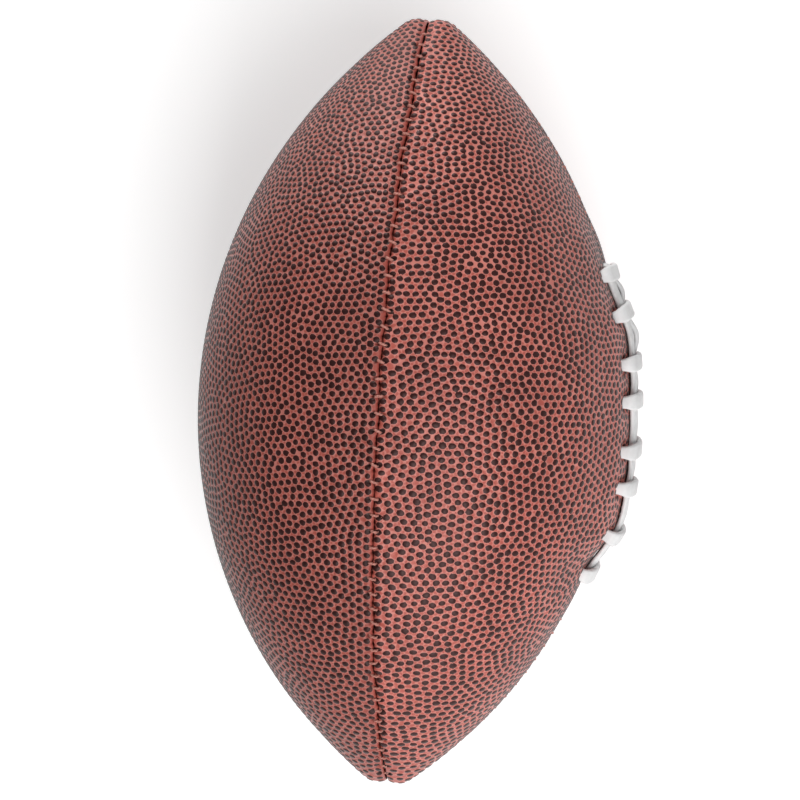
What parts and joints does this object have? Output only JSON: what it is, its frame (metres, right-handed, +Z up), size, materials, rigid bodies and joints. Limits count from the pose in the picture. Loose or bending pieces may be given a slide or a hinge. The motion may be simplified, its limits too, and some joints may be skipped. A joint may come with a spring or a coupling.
{
  "type": "american football",
  "caption": "Prolate leather ball of pebbled, stitched panels with a white lace over one seam and an inflation valve; it lies on its side.",
  "frame": {"origin": "on the ground under the middle of the ball, which lies on its side", "axes": "+Y along the ball from tip to tip, +X out through the laces, +Z up through a plain seam"},
  "size_m": [0.1526, 0.264, 0.1459],
  "materials": {
    "cover_leather": "pebbled, satin",
    "lining_cloth": "woven, matte",
    "seam_thread": "waxed thread",
    "lace_vinyl": "soft satin",
    "backing_leather": "suede",
    "bladder_rubber": "matte",
    "valve_rubber": "matte"
  },
  "bodies": {
    "root": {"upper_lace_panel": "cover_leather", "upper_back_panel": "cover_leather", "lower_lace_panel": "cover_leather", "lower_back_panel": "cover_leather", "upper_lace_lining": "lining_cloth", "upper_back_lining": "lining_cloth", "lower_lace_lining": "lining_cloth", "lower_back_lining": "lining_cloth", "top_seam_thread": "seam_thread", "bottom_seam_thread": "seam_thread", "back_seam_thread": "seam_thread", "lace_seam_thread": "seam_thread", "lace": "lace_vinyl", "lace_tongue": "backing_leather", "upper_lace_facing": "backing_leather", "lower_lace_facing": "backing_leather", "bladder": "bladder_rubber", "valve_patch": "bladder_rubber", "valve_body": "bladder_rubber", "valve_core": "valve_rubber"}
  },
  "joints": []
}
